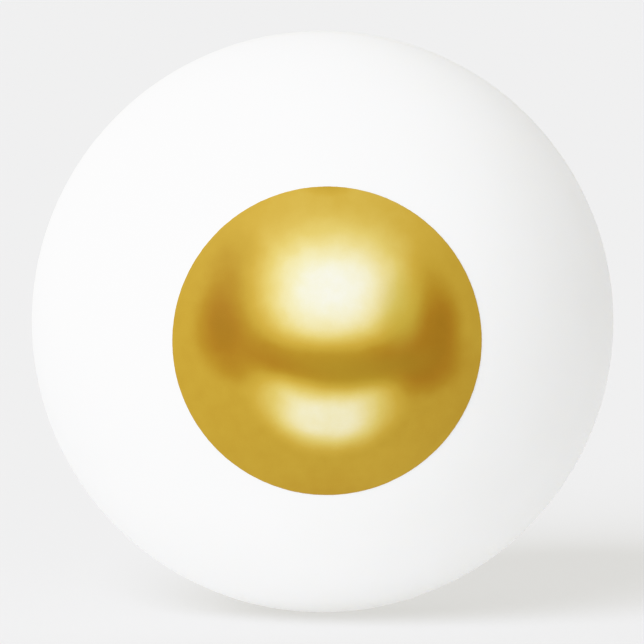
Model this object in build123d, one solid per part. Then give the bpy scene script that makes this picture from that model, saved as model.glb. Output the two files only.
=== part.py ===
from build123d import *
from math import sqrt
import os

# A table tennis ball with a round printed motif, in millimetres.
#
# The ball is two moulded half shells, closed by an adhesive ring in a stepped lap
# joint, with a thin film of ink over the pole of the front shell. Every piece is a
# body of revolution about Y. The origin is the ball's centre, the seam lies in the
# plane Y = 0, the print faces -Y and +Z is up.

# Ball
BALL_DIAMETER = 40.0
WALL = 0.50               # moulded wall away from the seam

# Seam belt: the wall is thicker inwards there, to make room for the lap joint
BELT_RISE = 0.30          # how far the belt stands in from the plain wall
BELT_HALF_WIDTH = 1.50    # from the seam plane to where the belt's ramp begins
BELT_RAMP = 0.60          # length along Y of the ramp down to the plain wall

# Lap joint: the rear shell's spigot goes into the front shell's socket
LAP_LENGTH = 0.80         # how far the spigot's end lies past the seam plane
SPIGOT_CHAMFER = 0.10     # lead-in on the outer edge of the spigot's end

# Adhesive
GLUE_FILM = 0.04          # between spigot and socket, and past the spigot's end
SEAM_GAP = 0.06           # between the shells' outer edges, along Y
SEAM_SINK = 0.02          # how far the adhesive lies under the ball's surface
BEAD_RADIUS = 0.12        # the bead that was squeezed out to the inside

# Print
PRINT_DIAMETER = 20.6     # straight across from edge to edge
INK_THICKNESS = 0.03
INK_EDGE = 0.06           # width over which the film thins out at its edge

# What follows from the sizes above
outer_r = BALL_DIAMETER / 2
inner_r = outer_r - WALL
belt_r = inner_r - BELT_RISE
lip = (WALL + BELT_RISE - GLUE_FILM) / 2    # socket and spigot share the belt's wall
socket_r = outer_r - lip
spigot_r = socket_r - GLUE_FILM
edge_y = SEAM_GAP / 2
shoulder_y = -LAP_LENGTH - GLUE_FILM        # the step that the spigot stops short of
print_r = PRINT_DIAMETER / 2
ink_r = outer_r + INK_THICKNESS


def level_with(y, radius):
    """The point at this y on a circle about the origin, on its +X side."""
    return (sqrt(radius**2 - y**2), y)


def in_front_at(x, radius):
    """The point at this x on a circle about the origin, on its -Y side."""
    return (x, -sqrt(radius**2 - x**2))


def arc(start, end):
    """The short arc about the origin from start to end, which are as far from it."""
    radius = Vector(start).length
    middle = (Vector(start) + Vector(end)).normalized() * radius
    return ThreePointArc(start, middle, end)


def revolved(outline):
    """The solid that a closed outline in the XY plane sweeps about the Y axis."""
    return revolve(make_face(Curve() + outline), Axis.Y)


def printed_half_shell():
    """The front half, with the socket of the lap joint in its rim."""
    pole = (0, -outer_r)
    rim = level_with(-edge_y, outer_r)
    socket_mouth = (socket_r, -edge_y)
    socket_root = (socket_r, shoulder_y)
    shoulder = (belt_r, shoulder_y)
    belt_end = (belt_r, -BELT_HALF_WIDTH)
    ramp_end = level_with(-BELT_HALF_WIDTH - BELT_RAMP, inner_r)
    inner_pole = (0, -inner_r)
    return revolved([
        arc(pole, rim),
        Polyline(rim, socket_mouth, socket_root, shoulder, belt_end, ramp_end),
        arc(ramp_end, inner_pole),
        Line(inner_pole, pole),
    ])


def plain_half_shell():
    """The rear half, with the spigot of the lap joint on its rim."""
    pole = (0, outer_r)
    rim = level_with(edge_y, outer_r)
    spigot_root = (spigot_r, edge_y)
    chamfer_start = (spigot_r, -LAP_LENGTH + SPIGOT_CHAMFER)
    chamfer_end = (spigot_r - SPIGOT_CHAMFER, -LAP_LENGTH)
    spigot_end = (belt_r, -LAP_LENGTH)
    belt_end = (belt_r, BELT_HALF_WIDTH)
    ramp_end = level_with(BELT_HALF_WIDTH + BELT_RAMP, inner_r)
    inner_pole = (0, inner_r)
    return revolved([
        arc(pole, rim),
        Polyline(rim, spigot_root, chamfer_start, chamfer_end, spigot_end, belt_end, ramp_end),
        arc(ramp_end, inner_pole),
        Line(inner_pole, pole),
    ])


def seam_adhesive_ring():
    """The cured adhesive: it fills the lap joint and ends in a bead on the inside."""
    bead_y = (shoulder_y - LAP_LENGTH) / 2
    bead_front = (belt_r, bead_y - BEAD_RADIUS)
    bead_crest = (belt_r - BEAD_RADIUS, bead_y)
    bead_rear = (belt_r, bead_y + BEAD_RADIUS)
    rear_edge = (outer_r - SEAM_SINK, edge_y)
    front_edge = (outer_r - SEAM_SINK, -edge_y)
    return revolved([
        Polyline(
            bead_rear,
            (belt_r, -LAP_LENGTH),
            (spigot_r - SPIGOT_CHAMFER, -LAP_LENGTH),
            (spigot_r, -LAP_LENGTH + SPIGOT_CHAMFER),
            (spigot_r, edge_y),
            rear_edge,
            front_edge,
            (socket_r, -edge_y),
            (socket_r, shoulder_y),
            (belt_r, shoulder_y),
            bead_front,
        ),
        ThreePointArc(bead_front, bead_crest, bead_rear),
    ])


def printed_motif():
    """The round film of ink on the front shell, thinned out at its edge."""
    pole = (0, -outer_r)
    edge = in_front_at(print_r, outer_r)
    full_height = in_front_at(print_r - INK_EDGE, ink_r)
    ink_pole = (0, -ink_r)
    return revolved([
        arc(pole, edge),
        Line(edge, full_height),
        arc(full_height, ink_pole),
        Line(ink_pole, pole),
    ])


pieces = {
    "printed_half_shell": printed_half_shell(),
    "plain_half_shell": plain_half_shell(),
    "seam_adhesive_ring": seam_adhesive_ring(),
    "printed_motif": printed_motif(),
}

os.makedirs("parts", exist_ok=True)
for name, piece in pieces.items():
    export_step(piece, f"parts/{name}.step")
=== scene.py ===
import bmesh
import bpy
import numpy as np
from math import acos, asin, cos, pi, radians, sin, sqrt, tan
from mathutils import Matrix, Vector


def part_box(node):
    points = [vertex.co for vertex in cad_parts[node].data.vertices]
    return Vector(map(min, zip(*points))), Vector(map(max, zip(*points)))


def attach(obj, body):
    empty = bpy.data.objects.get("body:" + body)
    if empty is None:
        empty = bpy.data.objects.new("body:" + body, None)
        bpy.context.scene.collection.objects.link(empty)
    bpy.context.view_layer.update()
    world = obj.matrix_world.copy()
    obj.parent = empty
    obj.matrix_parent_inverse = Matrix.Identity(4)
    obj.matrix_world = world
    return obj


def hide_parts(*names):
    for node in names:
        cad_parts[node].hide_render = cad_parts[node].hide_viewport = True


# A table tennis ball with a round print of a golden pearl. The frame's origin is the ball's centre, the seam
# lies in the plane y = 0, the print faces -Y and +Z is up.

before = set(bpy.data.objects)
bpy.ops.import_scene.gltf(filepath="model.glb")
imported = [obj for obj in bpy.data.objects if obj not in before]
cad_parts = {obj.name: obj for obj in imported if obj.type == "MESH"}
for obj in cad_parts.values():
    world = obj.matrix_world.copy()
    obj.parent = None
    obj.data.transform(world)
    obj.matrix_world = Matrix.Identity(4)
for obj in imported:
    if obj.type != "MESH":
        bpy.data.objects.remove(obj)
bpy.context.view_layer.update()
mm = 0.001

# what the frame gives
rearLow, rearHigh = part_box("plain_half_shell")
_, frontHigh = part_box("printed_half_shell")
_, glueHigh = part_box("seam_adhesive_ring")
inkLow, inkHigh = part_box("printed_motif")
ballRadius = rearHigh.x
seamHalfGap = -frontHigh.y
seamSink = ballRadius - glueHigh.x
spigotEnd = rearLow.y
printRadius = inkHigh.x
inkThickness = -inkLow.y - ballRadius
print("ball radius", round(ballRadius / mm, 3), "mm, print radius", round(printRadius / mm, 3), "mm")


def linear(red, green, blue):
    # display values from 0 to 255 become the linear colour that a shader wants
    value = np.array([red, green, blue]) / 255
    return tuple(np.where(value <= 0.04045, value / 12.92, ((value + 0.055) / 1.055) ** 2.4)) + (1.0,)


# shapes

def arcAbout(radius, start, end, rows):
    # a point swings round the ball's centre, from the front pole at angle 0 to the rear pole at pi:
    # r = radius sin(angle), y = -radius cos(angle)
    angle = np.linspace(start, end, rows)
    return np.column_stack([radius * np.sin(angle), -radius * np.cos(angle)])


def angleAt(radius, y):
    # the angle at which that arc passes y: the arc cosine of -y / radius
    return acos(-y / radius)


def softened(corners, cuts, steps=5):
    # every corner c between two straight runs becomes a short parabola, (1-t)^2 a + 2t(1-t) c + t^2 b,
    # where a and b lie on the two runs, a cut away from c; the first and last points only give directions
    corners = np.array(corners)
    corner = corners[1:-1]
    back = corners[:-2] - corner
    ahead = corners[2:] - corner
    cuts = np.array(cuts)[:, None]
    a = corner + cuts * back / np.linalg.norm(back, axis=1, keepdims=True)
    b = corner + cuts * ahead / np.linalg.norm(ahead, axis=1, keepdims=True)
    t = np.linspace(0, 1, steps)[None, :, None]
    curve = (1 - t) ** 2 * a[:, None] + 2 * t * (1 - t) * corner[:, None] + t**2 * b[:, None]
    return curve.reshape(-1, 2)


def turnsOf(count):
    # even steps round the circle: 2 pi k / count for k from 0 to count - 1
    return np.arange(count) * 2 * pi / count


def carriedRound(outline, count):
    # the outline's (r, y) points are carried round the Y axis: x = r cos(turn), z = r sin(turn)
    turn = turnsOf(count)
    r = outline[:, 0, None]
    y = outline[:, 1, None] + 0 * turn
    return np.stack([r * np.cos(turn), y, r * np.sin(turn)], axis=-1)


def waver(turn, waves, seed):
    # an uneven line round the seam or the print, from about -1 to 1, with a seed for the waves' phases:
    # the sum of sin(wave turn + phase) over the waves, divided by the root of their number
    phase = np.random.default_rng(seed).uniform(0, 2 * pi, len(waves))
    waves = np.array(waves)
    return np.sin(waves[:, None] * turn + phase[:, None]).sum(axis=0) / sqrt(len(waves))


def pieceFrom(name, grid, isRing=False):
    # rows x columns x 3 points become one closed skin: columns close on themselves, and so do the rows of a
    # ring, while on any other piece the first and last rows are poles that shrink to one point each
    rows, columns = grid.shape[:2]
    index = np.arange(rows * columns).reshape(rows, columns)
    near = index if isRing else index[:-1]
    far = np.roll(index, -1, axis=0) if isRing else index[1:]
    faces = np.stack([near, far, np.roll(far, -1, axis=1), np.roll(near, -1, axis=1)], axis=-1)
    mesh = bpy.data.meshes.new(name)
    mesh.from_pydata(grid.reshape(-1, 3).tolist(), [], faces.reshape(-1, 4).tolist())
    work = bmesh.new()
    work.from_mesh(mesh)
    bmesh.ops.remove_doubles(work, verts=work.verts, dist=1e-7)
    work.to_mesh(mesh)
    work.free()
    mesh.shade_smooth()
    piece = bpy.data.objects.new(name, mesh)
    bpy.context.scene.collection.objects.link(piece)
    return piece


def finishPiece(piece, node, material):
    # gives a piece its look and says what it rides on and which node it stands for
    piece.data.materials.append(material)
    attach(piece, "root")
    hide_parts(node)
    print("made", piece.name, "with", len(piece.data.polygons), "faces")


# shader helpers

def put(tree, kind, inputs=None, **settings):
    # adds a node; an input that is given a socket is linked to it, and any other input is set
    node = tree.nodes.new(kind)
    for key, value in settings.items():
        setattr(node, key, value)
    for key, value in (inputs or {}).items():
        if isinstance(value, bpy.types.NodeSocket):
            tree.links.new(value, node.inputs[key])
        else:
            node.inputs[key].default_value = value
    return node


def calc(tree, operation, *values):
    # a Math node on sockets and plain numbers
    return put(tree, "ShaderNodeMath", dict(enumerate(values)), operation=operation).outputs["Value"]


def blended(tree, factor, a, b):
    # a where factor is 0, b where it is 1, for numbers
    return put(tree, "ShaderNodeMix", {"Factor": factor, "A": a, "B": b}, data_type="FLOAT").outputs["Result"]


def blendedColour(tree, factor, a, b):
    # the same for colours; the node's sockets share their names, so they are picked by identifier
    node = put(tree, "ShaderNodeMix", data_type="RGBA")
    sockets = {"Factor_Float": factor, "A_Color": a, "B_Color": b}
    for socket in node.inputs:
        value = sockets.get(socket.identifier)
        if isinstance(value, bpy.types.NodeSocket):
            tree.links.new(value, socket)
        elif value is not None:
            socket.default_value = value
    return next(socket for socket in node.outputs if socket.identifier == "Result_Color")


def newGroup(name, inputs, outputs):
    # a shader node group with named sockets; gives back the group, its inputs' sockets and its output node
    group = bpy.data.node_groups.new(name, "ShaderNodeTree")
    for socketName, (kind, value) in inputs.items():
        socket = group.interface.new_socket(socketName, in_out="INPUT", socket_type="NodeSocket" + kind)
        socket.default_value = value
    for socketName, kind in outputs.items():
        group.interface.new_socket(socketName, in_out="OUTPUT", socket_type="NodeSocket" + kind)
    return group, group.nodes.new("NodeGroupInput").outputs, group.nodes.new("NodeGroupOutput")


def useGroup(tree, group, inputs):
    # puts a group into a material and gives back its outputs
    return put(tree, "ShaderNodeGroup", inputs, node_tree=group).outputs


def newMaterial(name, display):
    # a material with its Principled shader wired to the output; display is its colour in the solid view
    material = bpy.data.materials.new(name)
    material.use_nodes = True
    material.diffuse_color = display
    tree = material.node_tree
    tree.nodes.clear()
    shader = tree.nodes.new("ShaderNodeBsdfPrincipled")
    out = tree.nodes.new("ShaderNodeOutputMaterial")
    tree.links.new(shader.outputs["BSDF"], out.inputs["Surface"])
    return material, tree, shader


def makeFineGrain():
    # matt tumbled skin: a fine noise over a finer one; Grain is from 0 to 1, about 0.5 on average
    group, given, out = newGroup(
        "fineGrain",
        {"Place": ("Vector", (0, 0, 0)), "Size": ("Float", 0.2 * mm)},
        {"Grain": "Float"},
    )
    perMetre = calc(group, "DIVIDE", 1.0, given["Size"])
    coarse = put(
        group,
        "ShaderNodeTexNoise",
        {"Vector": given["Place"], "Scale": perMetre, "Detail": 3.0, "Roughness": 0.6},
    )
    finer = calc(group, "MULTIPLY", perMetre, 2.7)
    fine = put(
        group,
        "ShaderNodeTexNoise",
        {"Vector": given["Place"], "Scale": finer, "Detail": 2.0, "Roughness": 0.5},
    )
    grain = blended(group, 0.4, coarse.outputs["Fac"], fine.outputs["Fac"])
    group.links.new(grain, out.inputs["Grain"])
    return group


def makeMottle():
    # soft clouds of a given size, from 0 to 1 after the contrast is raised
    group, given, out = newGroup(
        "softMottle",
        {"Place": ("Vector", (0, 0, 0)), "Size": ("Float", 5 * mm)},
        {"Mottle": "Float"},
    )
    perMetre = calc(group, "DIVIDE", 1.0, given["Size"])
    cloud = put(
        group,
        "ShaderNodeTexNoise",
        {"Vector": given["Place"], "Scale": perMetre, "Detail": 2.0, "Roughness": 0.45},
    )
    spread = put(
        group,
        "ShaderNodeMapRange",
        {"Value": cloud.outputs["Fac"], "From Min": 0.3, "From Max": 0.7},
    )
    group.links.new(spread.outputs["Result"], out.inputs["Mottle"])
    return group


def makeSeamBand():
    # how near a point is to the seam plane y = 0: Band is 1 inside Half Width and falls to 0 over Fade
    group, given, out = newGroup(
        "seamBand",
        {"Place": ("Vector", (0, 0, 0)), "Half Width": ("Float", 1.5 * mm), "Fade": ("Float", 0.5 * mm)},
        {"Band": "Float"},
    )
    away = calc(group, "ABSOLUTE", put(group, "ShaderNodeSeparateXYZ", {0: given["Place"]}).outputs["Y"])
    end = calc(group, "ADD", given["Half Width"], given["Fade"])
    band = put(
        group,
        "ShaderNodeMapRange",
        {"Value": away, "From Min": end, "From Max": given["Half Width"]},
        interpolation_type="SMOOTHSTEP",
    )
    group.links.new(band.outputs["Result"], out.inputs["Band"])
    return group


def makeSoftLobe():
    # a soft patch on the print, in print radii. With du and dv counted from Centre and turned back by Turn,
    # Bow du^2 + Tilt du is taken off dv, then e = (|du / ru|^p + |dv / rv|^p)^(1/p), where p is Squareness.
    # Mask is 1 for e under Core and falls to 0 at e = 1
    group, given, out = newGroup(
        "softLobe",
        {
            "Place": ("Vector", (0, 0, 0)),
            "Centre": ("Vector", (0, 0, 0)),
            "Radii": ("Vector", (1, 1, 1)),
            "Turn": ("Float", 0.0),
            "Bow": ("Float", 0.0),
            "Tilt": ("Float", 0.0),
            "Squareness": ("Float", 2.0),
            "Core": ("Float", 0.1),
        },
        {"Mask": "Float"},
    )
    offset = put(group, "ShaderNodeVectorMath", {0: given["Place"], 1: given["Centre"]}, operation="SUBTRACT")
    back = calc(group, "MULTIPLY", given["Turn"], -1.0)
    turned = put(
        group,
        "ShaderNodeVectorRotate",
        {"Vector": offset.outputs["Vector"], "Angle": back},
        rotation_type="Z_AXIS",
    )
    part = put(group, "ShaderNodeSeparateXYZ", {0: turned.outputs["Vector"]}).outputs
    radius = put(group, "ShaderNodeSeparateXYZ", {0: given["Radii"]}).outputs
    du = part["X"]
    bend = calc(group, "MULTIPLY", calc(group, "MULTIPLY", du, du), given["Bow"])
    lean = calc(group, "MULTIPLY", du, given["Tilt"])
    dv = calc(group, "SUBTRACT", calc(group, "SUBTRACT", part["Y"], bend), lean)
    across = calc(group, "ABSOLUTE", calc(group, "DIVIDE", du, radius["X"]))
    upward = calc(group, "ABSOLUTE", calc(group, "DIVIDE", dv, radius["Y"]))
    across = calc(group, "POWER", across, given["Squareness"])
    upward = calc(group, "POWER", upward, given["Squareness"])
    root = calc(group, "DIVIDE", 1.0, given["Squareness"])
    reach = calc(group, "POWER", calc(group, "ADD", across, upward), root)
    mask = put(
        group,
        "ShaderNodeMapRange",
        {"Value": reach, "From Min": 1.0, "From Max": given["Core"]},
        interpolation_type="SMOOTHSTEP",
    )
    group.links.new(mask.outputs["Result"], out.inputs["Mask"])
    return group


fineGrain = makeFineGrain()
softMottle = makeMottle()
seamBand = makeSeamBand()
softLobe = makeSoftLobe()

# the two half shells
shell = {
    "wall": 0.50 * mm,
    "beltRise": 0.30 * mm,  # the thicker belt inside the seam
    "beltHalfWidth": 1.50 * mm,
    "beltRamp": 0.60 * mm,
    "glueFilm": 0.04 * mm,
    "spigotChamfer": 0.10 * mm,
    "rimRounding": 0.05 * mm,  # on the two edges that show as the seam line
    "stepRounding": 0.03 * mm,
    "rampRounding": 0.25 * mm,
    "lead": 0.12 * mm,  # the curved walls stop this far before their last corner
    "turns": 288,
    "rows": 72,
    "tone": linear(246, 246, 245),
    "cloudTone": linear(243, 243, 241),
    # painted shade: the band along the seam is a little darker and warmer, for the thicker belt inside that
    # lets less light through the wall
    "beltShadeTone": linear(240, 239, 235),
    "cloudSize": 7 * mm,
    "cloudShare": 0.6,
    "beltFade": 0.8 * mm,
    "beltShadeShare": 0.5,
    "roughness": 0.5,
    "cloudRoughness": 0.04,  # how far each of these moves the roughness
    "grainRoughness": 0.15,
    "beltRoughness": 0.04,
    "grainSize": 0.16 * mm,
    "grainDepth": 0.004 * mm,
    "ior": 1.53,
    "scatter": 0.3,  # the light that enters the wall, and how far red, green and blue get in it
    "scatterReach": (1.0, 0.9, 0.75),
    "scatterScale": 1.0 * mm,
}
innerRadius = ballRadius - shell["wall"]
beltRadius = innerRadius - shell["beltRise"]
lipWall = (shell["wall"] + shell["beltRise"] - shell["glueFilm"]) / 2
socketRadius = ballRadius - lipWall
spigotRadius = socketRadius - shell["glueFilm"]
shoulderY = spigotEnd - shell["glueFilm"]  # the socket's step, which the spigot stops short of
rampEnd = shell["beltHalfWidth"] + shell["beltRamp"]
leadCut = 0.8  # the share of the lead that the softened corner takes


def rimPoint(y):
    # on the ball's outside at this y: r = sqrt(radius^2 - y^2)
    return [sqrt(ballRadius**2 - y**2), y]


def rampPoint(y):
    # the same on the inside of the plain wall
    return [sqrt(innerRadius**2 - y**2), y]


def frontShellGrid():
    # the outline goes from the outer front pole over the rim, into the socket, along the belt and back to the
    # inner pole: an arc about the centre, softened straight runs and an arc, carried round Y
    lead = shell["lead"]
    outside = arcAbout(ballRadius, 0, angleAt(ballRadius, -seamHalfGap) - lead / ballRadius, shell["rows"])
    inside = arcAbout(innerRadius, angleAt(innerRadius, -rampEnd) - lead / innerRadius, 0, shell["rows"])
    steps = softened(
        [
            outside[-1],
            rimPoint(-seamHalfGap),
            [socketRadius, -seamHalfGap],
            [socketRadius, shoulderY],
            [beltRadius, shoulderY],
            [beltRadius, -shell["beltHalfWidth"]],
            rampPoint(-rampEnd),
            inside[0],
        ],
        [
            shell["rimRounding"],
            shell["stepRounding"],
            shell["stepRounding"],
            shell["stepRounding"],
            shell["rampRounding"],
            lead * leadCut,
        ],
    )
    return carriedRound(np.vstack([outside, steps, inside]), shell["turns"])


def rearShellGrid():
    # the outline goes from the inner rear pole along the belt, round the spigot and over the rim to the outer
    # pole, made and carried round as the front one
    lead = shell["lead"]
    inside = arcAbout(innerRadius, pi, angleAt(innerRadius, rampEnd) + lead / innerRadius, shell["rows"])
    outside = arcAbout(ballRadius, angleAt(ballRadius, seamHalfGap) + lead / ballRadius, pi, shell["rows"])
    steps = softened(
        [
            inside[-1],
            rampPoint(rampEnd),
            [beltRadius, shell["beltHalfWidth"]],
            [beltRadius, spigotEnd],
            [spigotRadius - shell["spigotChamfer"], spigotEnd],
            [spigotRadius, spigotEnd + shell["spigotChamfer"]],
            [spigotRadius, seamHalfGap],
            rimPoint(seamHalfGap),
            outside[0],
        ],
        [
            lead * leadCut,
            shell["rampRounding"],
            shell["stepRounding"],
            shell["stepRounding"],
            shell["stepRounding"],
            shell["stepRounding"],
            shell["rimRounding"],
        ],
    )
    return carriedRound(np.vstack([inside, steps, outside]), shell["turns"])


def makeShellPlastic():
    material, tree, shader = newMaterial("shellPlastic", shell["tone"])
    place = put(tree, "ShaderNodeTexCoord").outputs["Object"]
    clouds = useGroup(tree, softMottle, {"Place": place, "Size": shell["cloudSize"]})["Mottle"]
    belt = useGroup(tree, seamBand, {
        "Place": place,
        "Half Width": shell["beltHalfWidth"],
        "Fade": shell["beltFade"],
    })["Band"]
    grain = useGroup(tree, fineGrain, {"Place": place, "Size": shell["grainSize"]})["Grain"]
    cloudy = calc(tree, "MULTIPLY", clouds, shell["cloudShare"])
    # painted shade: a darker band along the seam, where the thicker belt inside lets less light through the
    # wall
    beltShade = calc(tree, "MULTIPLY", belt, shell["beltShadeShare"])
    tone = blendedColour(tree, cloudy, shell["tone"], shell["cloudTone"])
    tone = blendedColour(tree, beltShade, tone, shell["beltShadeTone"])
    tree.links.new(tone, shader.inputs["Base Color"])
    # polished a little by the tumbling, unevenly, and rougher where the seam was ground flush
    swing = shell["cloudRoughness"]
    rough = blended(tree, clouds, shell["roughness"] - swing, shell["roughness"] + swing)
    grit = calc(tree, "MULTIPLY", calc(tree, "SUBTRACT", grain, 0.5), shell["grainRoughness"])
    rough = calc(tree, "ADD", rough, grit)
    rough = calc(tree, "ADD", rough, calc(tree, "MULTIPLY", belt, shell["beltRoughness"]))
    tree.links.new(rough, shader.inputs["Roughness"])
    bump = put(tree, "ShaderNodeBump", {"Height": grain, "Distance": shell["grainDepth"]})
    tree.links.new(bump.outputs["Normal"], shader.inputs["Normal"])
    shader.inputs["IOR"].default_value = shell["ior"]
    shader.inputs["Subsurface Weight"].default_value = shell["scatter"]
    shader.inputs["Subsurface Radius"].default_value = shell["scatterReach"]
    shader.inputs["Subsurface Scale"].default_value = shell["scatterScale"]
    return material


shellPlastic = makeShellPlastic()
finishPiece(pieceFrom("front_shell", frontShellGrid()), "printed_half_shell", shellPlastic)
finishPiece(pieceFrom("rear_shell", rearShellGrid()), "plain_half_shell", shellPlastic)

# the adhesive in the seam
glue = {
    "beadRadius": 0.12 * mm,
    "beadWaver": 0.035 * mm,  # how unevenly it was squeezed out
    "beadWaves": [3, 5, 11, 23, 37],
    "beadSeed": 4,
    "lineWaver": 0.006 * mm,
    "lineWaves": [9, 17, 31, 53],
    "lineSeed": 8,
    "turns": 288,
    "rows": 15,  # over the bead
    "tone": linear(236, 233, 222),
    "cloudTone": linear(228, 222, 205),
    "cloudSize": 1.5 * mm,
    "cloudShare": 0.5,
    "clearRoughness": 0.27,
    "cloudRoughness": 0.45,  # in the thick of the clouds
    "grainSize": 0.1 * mm,
    "grainDepth": 0.003 * mm,
}


def glueRingGrid():
    # the outline goes along the film between the walls, out to the outer line and back, and round the bead,
    # half a circle: r = belt radius - bead radius sin(swing), y = middle + bead radius cos(swing). It is
    # carried round Y, and then the bead and the outer line are moved in by a waver of the turn
    middle = (spigotEnd + shoulderY) / 2
    corners = [
        [beltRadius, shoulderY],
        [socketRadius, shoulderY],
        [socketRadius, -seamHalfGap],
        [ballRadius - seamSink, -seamHalfGap],
        [ballRadius - seamSink, seamHalfGap],
        [spigotRadius, seamHalfGap],
        [spigotRadius, spigotEnd + shell["spigotChamfer"]],
        [spigotRadius - shell["spigotChamfer"], spigotEnd],
        [beltRadius, spigotEnd],
    ]
    swing = np.linspace(0, pi, glue["rows"])
    beadCurve = np.column_stack([
        beltRadius - glue["beadRadius"] * np.sin(swing),
        middle + glue["beadRadius"] * np.cos(swing),
    ])
    grid = carriedRound(np.vstack([corners, beadCurve]), glue["turns"])
    turn = turnsOf(glue["turns"])
    squeezed = np.concatenate([np.zeros(len(corners)), np.sin(swing)])[:, None]
    outer = np.zeros(len(corners) + len(swing))[:, None]
    outer[3:5] = 1.0  # the two corners of the outer line
    beadWaver = waver(turn, glue["beadWaves"], glue["beadSeed"])
    lineWaver = waver(turn, glue["lineWaves"], glue["lineSeed"])
    move = -glue["beadWaver"] * squeezed * (1 + beadWaver) / 2
    move = move - glue["lineWaver"] * outer * (1 + lineWaver) / 2
    outward = np.stack([np.cos(turn), 0 * turn, np.sin(turn)], axis=-1)
    return grid + move[:, :, None] * outward


def makeSeamGlue():
    material, tree, shader = newMaterial("seamGlue", glue["tone"])
    place = put(tree, "ShaderNodeTexCoord").outputs["Object"]
    clouds = useGroup(tree, softMottle, {"Place": place, "Size": glue["cloudSize"]})["Mottle"]
    grain = useGroup(tree, fineGrain, {"Place": place, "Size": glue["grainSize"]})["Grain"]
    cloudy = calc(tree, "MULTIPLY", clouds, glue["cloudShare"])
    tree.links.new(blendedColour(tree, cloudy, glue["tone"], glue["cloudTone"]), shader.inputs["Base Color"])
    rough = blended(tree, clouds, glue["clearRoughness"], glue["cloudRoughness"])
    tree.links.new(rough, shader.inputs["Roughness"])
    bump = put(tree, "ShaderNodeBump", {"Height": grain, "Distance": glue["grainDepth"]})
    tree.links.new(bump.outputs["Normal"], shader.inputs["Normal"])
    return material


glueRing = pieceFrom("seam_glue", glueRingGrid(), isRing=True)
finishPiece(glueRing, "seam_adhesive_ring", makeSeamGlue())

# the printed pearl
ink = {
    "edgeWidth": 0.06 * mm,  # the film rounds off over this width
    "edgeWaver": 0.012 * mm,
    "edgeWaves": [5, 11, 23, 41, 67, 89, 113, 151],
    "edgeSeed": 2,
    "edgeReach": 12,  # the power at which the ragged edge dies out towards the middle
    "edgeRows": 7,
    "turns": 512,
    "rows": 70,
    "light": 1.14,  # the studio's light on the print, and its gloss's veil: the inks below are as seen
    "veil": 0.006,
    "blackest": 0.002,
    "roughness": 0.5,
    "dotRoughness": 0.08,
    "gloss": 0.12,  # a matt ink
    "blotchSize": 1.1 * mm,
    "blotchTone": 0.03,  # how far the blotches and the dots move the tone
    "dotTone": 0.08,
    "dotSize": 0.07 * mm,
    "dotHeight": 0.003 * mm,
}
# the inks from the deepest shade to the brightest light, at their place on the tone scale
inkTones = {
    0.00: (160, 114, 22),
    0.15: (174, 125, 29),
    0.28: (185, 143, 38),
    0.40: (199, 163, 54),
    0.50: (208, 173, 64),
    0.60: (217, 187, 84),
    0.70: (226, 203, 108),
    0.80: (235, 218, 142),
    0.90: (243, 233, 184),
    1.00: (249, 247, 229),
}
# the picture's soft patches, each laid over the ones before it. Places and radii are in print radii, to the
# right and up from the print's centre
groundTone = 0.395
pearlLobes = {
    "light at the top": {
        "tone": 0.54, "centre": (0.06, 0.90), "radii": (1.05, 0.42),
        "bow": -0.40, "core": 0.2,
    },
    "orange at the top edge": {
        "tone": 0.36, "centre": (0.0, 1.02), "radii": (0.22, 0.10),
        "bow": -0.5, "core": 0.0,
    },
    "shade low on the right": {
        "tone": 0.36, "centre": (0.90, -0.40), "radii": (0.60, 0.50),
        "core": 0.0,
    },
    "shade at the bottom": {
        "tone": 0.33, "centre": (0.0, -1.05), "radii": (0.60, 0.25),
        "core": 0.0,
    },
    "shade high on the left": {
        "tone": 0.24, "centre": (-0.55, 0.41), "radii": (0.31, 0.38),
        "core": 0.05,
    },
    "shade high on the right": {
        "tone": 0.27, "centre": (0.58, 0.36), "radii": (0.22, 0.34),
        "core": 0.05,
    },
    "dark bowl": {
        "tone": 0.20, "centre": (0.01, 0.00), "radii": (0.88, 0.33),
        "bow": 0.22, "tilt": -0.07, "core": 0.5,
    },
    "left of the middle": {
        "tone": 0.10, "centre": (-0.43, -0.13), "radii": (0.34, 0.21),
        "core": 0.1, "strength": 0.6,
    },
    "left end of the bowl": {
        "tone": 0.10, "centre": (-0.67, 0.09), "radii": (0.42, 0.24),
        "turn": 90, "bow": -0.35, "core": 0.1,
    },
    "right half of the bowl": {
        "tone": 0.07, "centre": (0.54, -0.155), "radii": (0.46, 0.26),
        "bow": 0.35, "core": 0.05,
    },
    "right end of the bowl": {
        "tone": 0.08, "centre": (0.70, 0.08), "radii": (0.45, 0.22),
        "turn": 90, "bow": 0.30, "core": 0.15,
    },
    "glow": {
        "tone": 0.67, "centre": (0.03, 0.45), "radii": (0.66, 0.46),
        "core": 0.1, "strength": 0.8,
    },
    "lower part of the highlight": {
        "tone": 0.72, "centre": (-0.01, 0.17), "radii": (0.56, 0.25),
        "square": 2.3, "core": 0.2, "strength": 0.9,
    },
    "highlight": {
        "tone": 0.995, "centre": (0.035, 0.365), "radii": (0.78, 0.555),
        "square": 2.2, "core": 0.06,
    },
    "lower crescent": {
        "tone": 0.92, "centre": (-0.005, -0.485), "radii": (0.60, 0.28),
        "bow": 0.76, "tilt": -0.06, "square": 3.1, "core": 0.22,
    },
}
# patches where the hue leaves the tone scale, in the same terms
pearlTints = {
    "olive in the bowl": {
        "colour": (176, 148, 42), "centre": (0.18, -0.17), "radii": (0.66, 0.17),
        "bow": 0.3, "core": 0.1, "strength": 0.5,
    },
    "olive right of the highlight": {
        "colour": (200, 180, 70), "centre": (0.47, 0.22), "radii": (0.20, 0.34),
        "core": 0.1, "strength": 0.45,
    },
}


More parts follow.
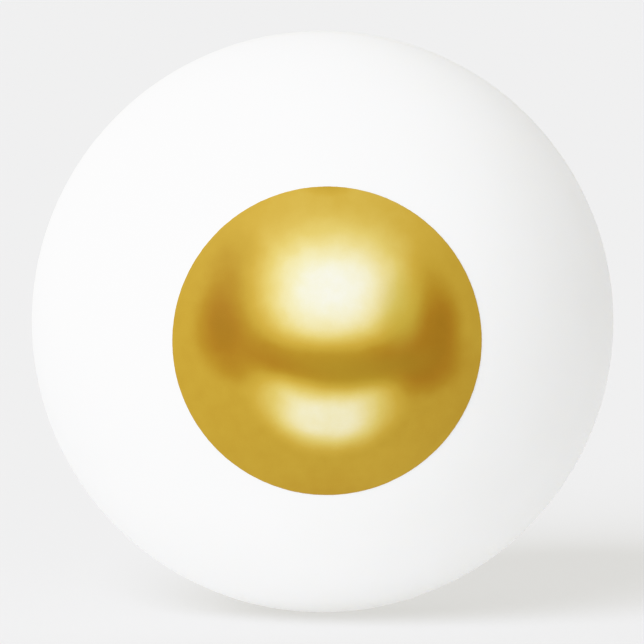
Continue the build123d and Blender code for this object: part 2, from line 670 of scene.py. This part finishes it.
def inkFilmGrid():
    # a cap in polar angle a and turn t: x = r sin a cos t, y = -r cos a, z = r sin a sin t, where r is the
    # ball's radius + height. The height is the film's full thickness h up to the edge, which is w wide and
    # rounds off as a quarter of an ellipse: h sin s high, w (1 - cos s) in from the rim. Near the rim a
    # waver of t draws a in, which is the print's slightly ragged edge
    rimAngle = asin(printRadius / ballRadius)
    edgeAngle = ink["edgeWidth"] / ballRadius
    full = np.linspace(0, rimAngle - edgeAngle, ink["rows"])[:-1]
    s = np.linspace(pi / 2, 0, ink["edgeRows"])
    rounding = rimAngle - edgeAngle * (1 - np.cos(s))
    under = np.linspace(rimAngle, 0, ink["rows"])[1:]
    angle = np.concatenate([full, rounding, under])[:, None]
    height = np.concatenate([inkThickness + 0 * full, inkThickness * np.sin(s), 0 * under])[:, None]
    turn = turnsOf(ink["turns"])
    ragged = waver(turn, ink["edgeWaves"], ink["edgeSeed"]) * ink["edgeWaver"] / ballRadius / 2
    angle = angle + (ragged - abs(ragged).max()) * (angle / rimAngle) ** ink["edgeReach"]
    radius = ballRadius + height
    return np.stack([
        radius * np.sin(angle) * np.cos(turn),
        -radius * np.cos(angle),
        radius * np.sin(angle) * np.sin(turn),
    ], axis=-1)


def inkColour(seen):
    # the ink's own colour from the colour that it shows in the studio: (seen - veil) / light
    own = (np.array(linear(*seen)[:3]) - ink["veil"]) / ink["light"]
    return tuple(np.maximum(own, ink["blackest"])) + (1.0,)


def lobeMask(tree, flat, lobe):
    # the mask of one of the patches above, times its strength
    mask = useGroup(tree, softLobe, {
        "Place": flat,
        "Centre": lobe["centre"] + (0,),
        "Radii": lobe["radii"] + (1,),
        "Turn": radians(lobe.get("turn", 0.0)),
        "Bow": lobe.get("bow", 0.0),
        "Tilt": lobe.get("tilt", 0.0),
        "Squareness": lobe.get("square", 2.0),
        "Core": lobe["core"],
    })["Mask"]
    return calc(tree, "MULTIPLY", mask, lobe.get("strength", 1.0))


def makePearlInk():
    material, tree, shader = newMaterial("pearlInk", inkColour(inkTones[0.40]))
    place = put(tree, "ShaderNodeTexCoord").outputs["Object"]
    # u and v: the object's X and Z over the print's radius
    flat = put(
        tree,
        "ShaderNodeMapping",
        {"Vector": place, "Rotation": (-pi / 2, 0, 0), "Scale": (1 / printRadius,) * 3},
    ).outputs["Vector"]
    tone = groundTone
    for lobe in pearlLobes.values():
        tone = blended(tree, lobeMask(tree, flat, lobe), tone, lobe["tone"])
    # the ink lies in fine dots over soft blotches, and each of them moves the tone a little
    blotches = useGroup(tree, softMottle, {"Place": place, "Size": ink["blotchSize"]})["Mottle"]
    dots = useGroup(tree, fineGrain, {"Place": place, "Size": ink["dotSize"]})["Grain"]
    blotchy = calc(tree, "MULTIPLY", calc(tree, "SUBTRACT", blotches, 0.5), ink["blotchTone"])
    dotted = calc(tree, "MULTIPLY", calc(tree, "SUBTRACT", dots, 0.5), ink["dotTone"])
    tone = calc(tree, "ADD", tone, calc(tree, "ADD", blotchy, dotted))
    ramp = put(tree, "ShaderNodeValToRGB", {"Fac": tone})
    stops = ramp.color_ramp.elements
    while len(stops) < len(inkTones):
        stops.new(0.5)
    for stop, (position, colour) in zip(stops, inkTones.items()):
        stop.position = position
        stop.color = inkColour(colour)
    colour = ramp.outputs["Color"]
    for tint in pearlTints.values():
        colour = blendedColour(tree, lobeMask(tree, flat, tint), colour, inkColour(tint["colour"]))
    tree.links.new(colour, shader.inputs["Base Color"])
    swing = ink["dotRoughness"]
    rough = blended(tree, dots, ink["roughness"] - swing, ink["roughness"] + swing)
    tree.links.new(rough, shader.inputs["Roughness"])
    bump = put(tree, "ShaderNodeBump", {"Height": dots, "Distance": ink["dotHeight"]})
    tree.links.new(bump.outputs["Normal"], shader.inputs["Normal"])
    shader.inputs["Specular IOR Level"].default_value = ink["gloss"]
    return material


finishPiece(pieceFrom("pearl_print", inkFilmGrid()), "printed_motif", makePearlInk())

# floor, light and camera
studio = {
    "floorRadius": 20.0,
    "floorSides": 96,
    "floorTone": (0.28, 0.28, 0.28, 1.0),  # the tones here are linear
    "floorRoughness": 0.9,
    "floorGlow": 0.495,  # the table is a sheet of white acrylic that is lit a little from below
    "glowTone": (1.0, 0.993, 0.96, 1.0),
    "ambient": (0.740, 0.732, 0.715, 1.0),
    "backdrop": linear(240, 240, 240),
}
white = (1.0, 1.0, 1.0)
# wide soft lights: azimuth is counted from the print's side to the left, elevation upwards, and spread is how
# wide the light looks from the ball, all in degrees
lamps = {
    "key": {"azimuth": 33, "elevation": 30, "spread": 46, "strength": 1.55, "tone": (0.975, 1.0, 1.06)},
    "under": {"azimuth": 0, "elevation": -80, "spread": 60, "strength": 0.38, "tone": white},
    "backLeft": {"azimuth": 130, "elevation": -10, "spread": 100, "strength": 0.53, "tone": white},
    "back": {"azimuth": 180, "elevation": 20, "spread": 120, "strength": 0.19, "tone": white},
}
# a second light beside the key, which reaches only the table: it makes up for its grey and tints its shadow
tableLamp = {"azimuth": 32, "elevation": 30, "spread": 40, "strength": 2.1, "tone": (0.95, 0.99, 1.20)}
# the light in the picture for each linear light: straight at first, then the brightest tones bend over
toneCurve = {0.0: 0.0, 0.4: 0.4, 0.7: 0.7, 0.86: 0.86, 0.95: 0.929, 1.05: 0.966, 1.15: 0.977, 1.25: 0.978}


def makeFloor():
    # a disc that the ball's lowest point touches: a centre, and a ring round it, x = R cos(turn) and
    # y = R sin(turn), with one triangle for each side
    turn = turnsOf(studio["floorSides"])
    ring = studio["floorRadius"] * np.stack([np.cos(turn), np.sin(turn), 0 * turn], axis=-1)
    points = np.vstack([[0, 0, 0], ring]) - [0, 0, ballRadius]
    here = np.arange(1, studio["floorSides"] + 1)
    mesh = bpy.data.meshes.new("floor")
    mesh.from_pydata(points.tolist(), [], np.column_stack([0 * here, here, np.roll(here, -1)]).tolist())
    floor = bpy.data.objects.new("floor", mesh)
    bpy.context.scene.collection.objects.link(floor)
    material, _, shader = newMaterial("paleFloor", studio["floorTone"])
    shader.inputs["Base Color"].default_value = studio["floorTone"]
    shader.inputs["Roughness"].default_value = studio["floorRoughness"]
    shader.inputs["Specular IOR Level"].default_value = 0.0  # quite matt
    shader.inputs["Emission Color"].default_value = studio["glowTone"]
    shader.inputs["Emission Strength"].default_value = studio["floorGlow"]
    mesh.materials.append(material)
    return floor


def makeLamp(name, azimuth, elevation, spread, strength, tone):
    # it shines at the ball from (-sin azimuth cos elevation, -cos azimuth cos elevation, sin elevation)
    light = bpy.data.lights.new(name, "SUN")
    light.energy = strength
    light.color = tone
    light.angle = radians(spread)
    lamp = bpy.data.objects.new(name, light)
    a, e = radians(azimuth), radians(elevation)
    towards = Vector((-sin(a) * cos(e), -cos(a) * cos(e), sin(e)))
    lamp.rotation_euler = towards.to_track_quat("Z", "Y").to_euler()
    bpy.context.scene.collection.objects.link(lamp)
    return lamp


def lightStudio(floor):
    world = bpy.data.worlds.new("studio")
    world.use_nodes = True
    sky = world.node_tree
    # the camera sees a backdrop as light as the table, and everything else is lit by the ambient tone
    seen = put(sky, "ShaderNodeLightPath").outputs["Is Camera Ray"]
    tone = blendedColour(sky, seen, studio["ambient"], studio["backdrop"])
    sky.links.new(tone, sky.nodes["Background"].inputs["Color"])
    bpy.context.scene.world = world
    for name, lamp in lamps.items():
        # of these only the key throws a shadow, as the others shine through the acrylic or past it
        makeLamp(name + "Light", **lamp).data.use_shadow = (name == "key")
    lit = bpy.data.collections.new("litByTableLamp")
    lit.objects.link(floor)
    makeLamp("tableLight", **tableLamp).light_linking.receiver_collection = lit


def bendHighlights():
    # puts the tone curve into the view settings, over the range up to its last point
    viewing = bpy.context.scene.view_settings
    viewing.view_transform = "Standard"
    viewing.use_curve_mapping = True
    mapping = viewing.curve_mapping
    top = max(toneCurve)
    mapping.white_level = (top, top, top)
    points = mapping.curves[3].points  # the curve for all three colours
    while len(points) < len(toneCurve):
        points.new(0.5, 0.5)
    for point, (light, tone) in zip(points, toneCurve.items()):
        point.location = (light / top, tone)
    mapping.update()


view = {
    "distance": 25 * ballRadius,
    "azimuth": -0.98,  # degrees, counted to the right
    "elevation": 4.33,
    "sensor": 36.0,  # millimetres, as the lens
    "near": 0.01,
    "far": 100,
    "ballShare": 0.903,  # the ball's outline against the picture's width
    "aim": (-0.041 * mm, 0.0, -0.035 * mm),  # just beside the ball's centre
}


def makeCamera():
    # the lens is half the sensor over the tangent of half the view, which the ball's share sets
    camera = bpy.data.cameras.new("camera")
    halfBall = tan(asin(ballRadius / view["distance"]))  # half the ball's outline at a distance of 1
    camera.sensor_width = view["sensor"]
    camera.lens = view["sensor"] / 2 / (halfBall / view["ballShare"])
    camera.clip_start = view["near"]
    camera.clip_end = view["far"]
    a, e = radians(view["azimuth"]), radians(view["elevation"])
    away = Vector((sin(a) * cos(e), -cos(a) * cos(e), sin(e)))
    aim = Vector(view["aim"])
    holder = bpy.data.objects.new("camera", camera)
    holder.location = away * view["distance"]
    holder.rotation_euler = (holder.location - aim).to_track_quat("Z", "Y").to_euler()
    bpy.context.scene.collection.objects.link(holder)
    bpy.context.scene.camera = holder


lightStudio(makeFloor())
bendHighlights()
makeCamera()
print("floor, light and camera are in place")
